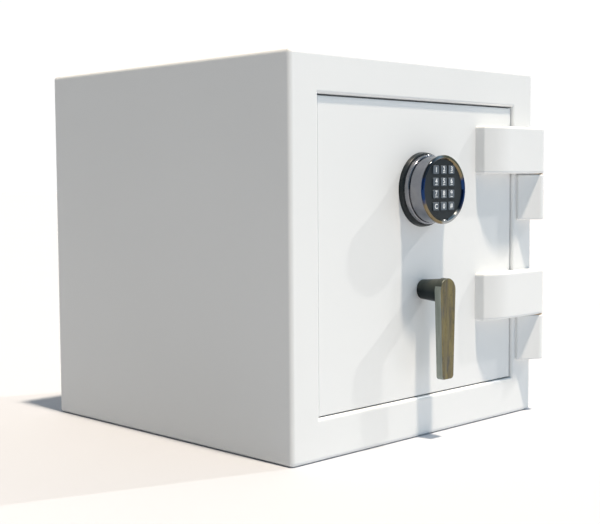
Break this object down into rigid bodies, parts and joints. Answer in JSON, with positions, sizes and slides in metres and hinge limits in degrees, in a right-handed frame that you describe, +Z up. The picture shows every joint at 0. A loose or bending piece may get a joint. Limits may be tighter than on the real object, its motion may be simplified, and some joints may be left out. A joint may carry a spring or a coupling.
{
  "type": "in-room safe",
  "caption": "Cube-shaped white steel safe with a recessed plate door on two external strap hinges, a round electronic keypad, a lever handle and sliding bolts.",
  "frame": {"origin": "centre of the floor anchor hole at the underside of the base, in the middle of the body", "axes": "+Z up, -Y out of the door, +X towards the hinge side"},
  "size_m": [0.514, 0.5482, 0.508],
  "materials": {
    "white_paint": "semi-gloss white enamel with a fine orange peel",
    "liner_paint": "satin light grey enamel",
    "concrete": "cast fire-resistant fill",
    "bright_steel": "turned bright steel",
    "zinc_steel": "zinc plated",
    "hard_steel": "black oxide hardened steel",
    "cast_zinc": "die cast, tumbled",
    "bronze": "plain sintered bronze",
    "aged_bronze": "aged bronze with vertical brushing",
    "bright_chrome": "polished black chrome",
    "black_nickel": "satin black nickel",
    "keypad_black": "black moulded plastic",
    "key_rubber": "grey-blue silicone keys with white legends",
    "seal_strip": "intumescent strip",
    "mat_rubber": "ribbed mat",
    "circuit_board": "green solder mask",
    "battery_case": "plain wrapped cell",
    "cable_rubber": "flexible lead"
  },
  "bodies": {
    "safe_body": {"outer_shell": "white_paint", "front_frame": "white_paint", "jamb_ring": "white_paint", "inner_liner": "liner_paint", "body_fill": "concrete", "anchor_sleeve": "zinc_steel", "floor_mat": "mat_rubber", "shelf": "liner_paint", "shelf_rails": "zinc_steel", "upper_hinge_block": "white_paint", "lower_hinge_block": "white_paint", "hinge_pins": "bright_steel", "hinge_washers": "bronze"},
    "door": {"door_plate": "white_paint", "door_seal": "seal_strip", "hard_plate": "hard_steel", "door_fill": "concrete", "door_pan": "liner_paint", "upper_hinge_arm": "white_paint", "lower_hinge_arm": "white_paint", "keypad_base": "keypad_black", "keypad_collar": "bright_chrome", "keypad_housing": "black_nickel", "keypad_bezel": "bright_chrome", "keypad_faceplate": "keypad_black", "keypad_board": "circuit_board", "battery": "battery_case", "keypad_cable": "cable_rubber", "handle_bushing": "bronze", "bolt_guides": "zinc_steel", "dead_bar": "bright_steel", "lock_case": "cast_zinc", "lock_cover": "cast_zinc", "lock_screws": "zinc_steel", "boltwork_cover": "liner_paint", "cover_posts": "zinc_steel", "cover_screws": "zinc_steel"},
    "handle": {"handle_lever": "aged_bronze", "handle_set_screw": "hard_steel", "handle_spindle": "bright_steel", "cam_disc": "zinc_steel", "spindle_ring": "hard_steel"},
    "bolt_carriage": {"locking_bolts": "bright_steel", "bolt_bar": "zinc_steel", "bolt_screws": "hard_steel", "carriage_plate": "zinc_steel"},
    "lock_latch": {"lock_bolt": "bronze"},
    "button_1": {"key_1": "key_rubber"},
    "button_2": {"key_2": "key_rubber"},
    "button_3": {"key_3": "key_rubber"},
    "button_4": {"key_4": "key_rubber"},
    "button_5": {"key_5": "key_rubber"},
    "button_6": {"key_6": "key_rubber"},
    "button_7": {"key_7": "key_rubber"},
    "button_8": {"key_8": "key_rubber"},
    "button_9": {"key_9": "key_rubber"},
    "button_clear": {"key_clear": "key_rubber"},
    "button_0": {"key_0": "key_rubber"},
    "button_hash": {"key_hash": "key_rubber"}
  },
  "joints": [
    {"name": "door_swing", "type": "hinge", "parent": "safe_body", "child": "door", "pos_m": [0.249, -0.2655, 0.25], "axis": [0, 0, 1], "range_deg": [0, 170]},
    {"name": "handle_turn", "type": "hinge", "parent": "door", "child": "handle", "pos_m": [0, -0.2505, 0.2015], "axis": [0, -1, 0], "range_deg": [0, 90]},
    {"name": "bolts_throw", "type": "slide", "parent": "door", "child": "bolt_carriage", "axis": [-1, 0, 0], "range_m": [0, 0.026]},
    {"name": "lock_throw", "type": "slide", "parent": "door", "child": "lock_latch", "axis": [0, 0, -1], "range_m": [0, 0.008]},
    {"name": "press_1", "type": "slide", "parent": "door", "child": "button_1", "axis": [0, 1, 0], "range_m": [0, 0.001], "stiffness_N_per_m": 400, "springref_m": -0.0005},
    {"name": "press_2", "type": "slide", "parent": "door", "child": "button_2", "axis": [0, 1, 0], "range_m": [0, 0.001], "stiffness_N_per_m": 400, "springref_m": -0.0005},
    {"name": "press_3", "type": "slide", "parent": "door", "child": "button_3", "axis": [0, 1, 0], "range_m": [0, 0.001], "stiffness_N_per_m": 400, "springref_m": -0.0005},
    {"name": "press_4", "type": "slide", "parent": "door", "child": "button_4", "axis": [0, 1, 0], "range_m": [0, 0.001], "stiffness_N_per_m": 400, "springref_m": -0.0005},
    {"name": "press_5", "type": "slide", "parent": "door", "child": "button_5", "axis": [0, 1, 0], "range_m": [0, 0.001], "stiffness_N_per_m": 400, "springref_m": -0.0005},
    {"name": "press_6", "type": "slide", "parent": "door", "child": "button_6", "axis": [0, 1, 0], "range_m": [0, 0.001], "stiffness_N_per_m": 400, "springref_m": -0.0005},
    {"name": "press_7", "type": "slide", "parent": "door", "child": "button_7", "axis": [0, 1, 0], "range_m": [0, 0.001], "stiffness_N_per_m": 400, "springref_m": -0.0005},
    {"name": "press_8", "type": "slide", "parent": "door", "child": "button_8", "axis": [0, 1, 0], "range_m": [0, 0.001], "stiffness_N_per_m": 400, "springref_m": -0.0005},
    {"name": "press_9", "type": "slide", "parent": "door", "child": "button_9", "axis": [0, 1, 0], "range_m": [0, 0.001], "stiffness_N_per_m": 400, "springref_m": -0.0005},
    {"name": "press_clear", "type": "slide", "parent": "door", "child": "button_clear", "axis": [0, 1, 0], "range_m": [0, 0.001], "stiffness_N_per_m": 400, "springref_m": -0.0005},
    {"name": "press_0", "type": "slide", "parent": "door", "child": "button_0", "axis": [0, 1, 0], "range_m": [0, 0.001], "stiffness_N_per_m": 400, "springref_m": -0.0005},
    {"name": "press_hash", "type": "slide", "parent": "door", "child": "button_hash", "axis": [0, 1, 0], "range_m": [0, 0.001], "stiffness_N_per_m": 400, "springref_m": -0.0005}
  ],
  "couplings": [
    {"joint": "bolts_throw", "follows": "handle_turn", "m_per_rad": 0.01655},
    {"joint": "lock_throw", "follows": "handle_turn", "m_per_rad": 0.00509}
  ]
}
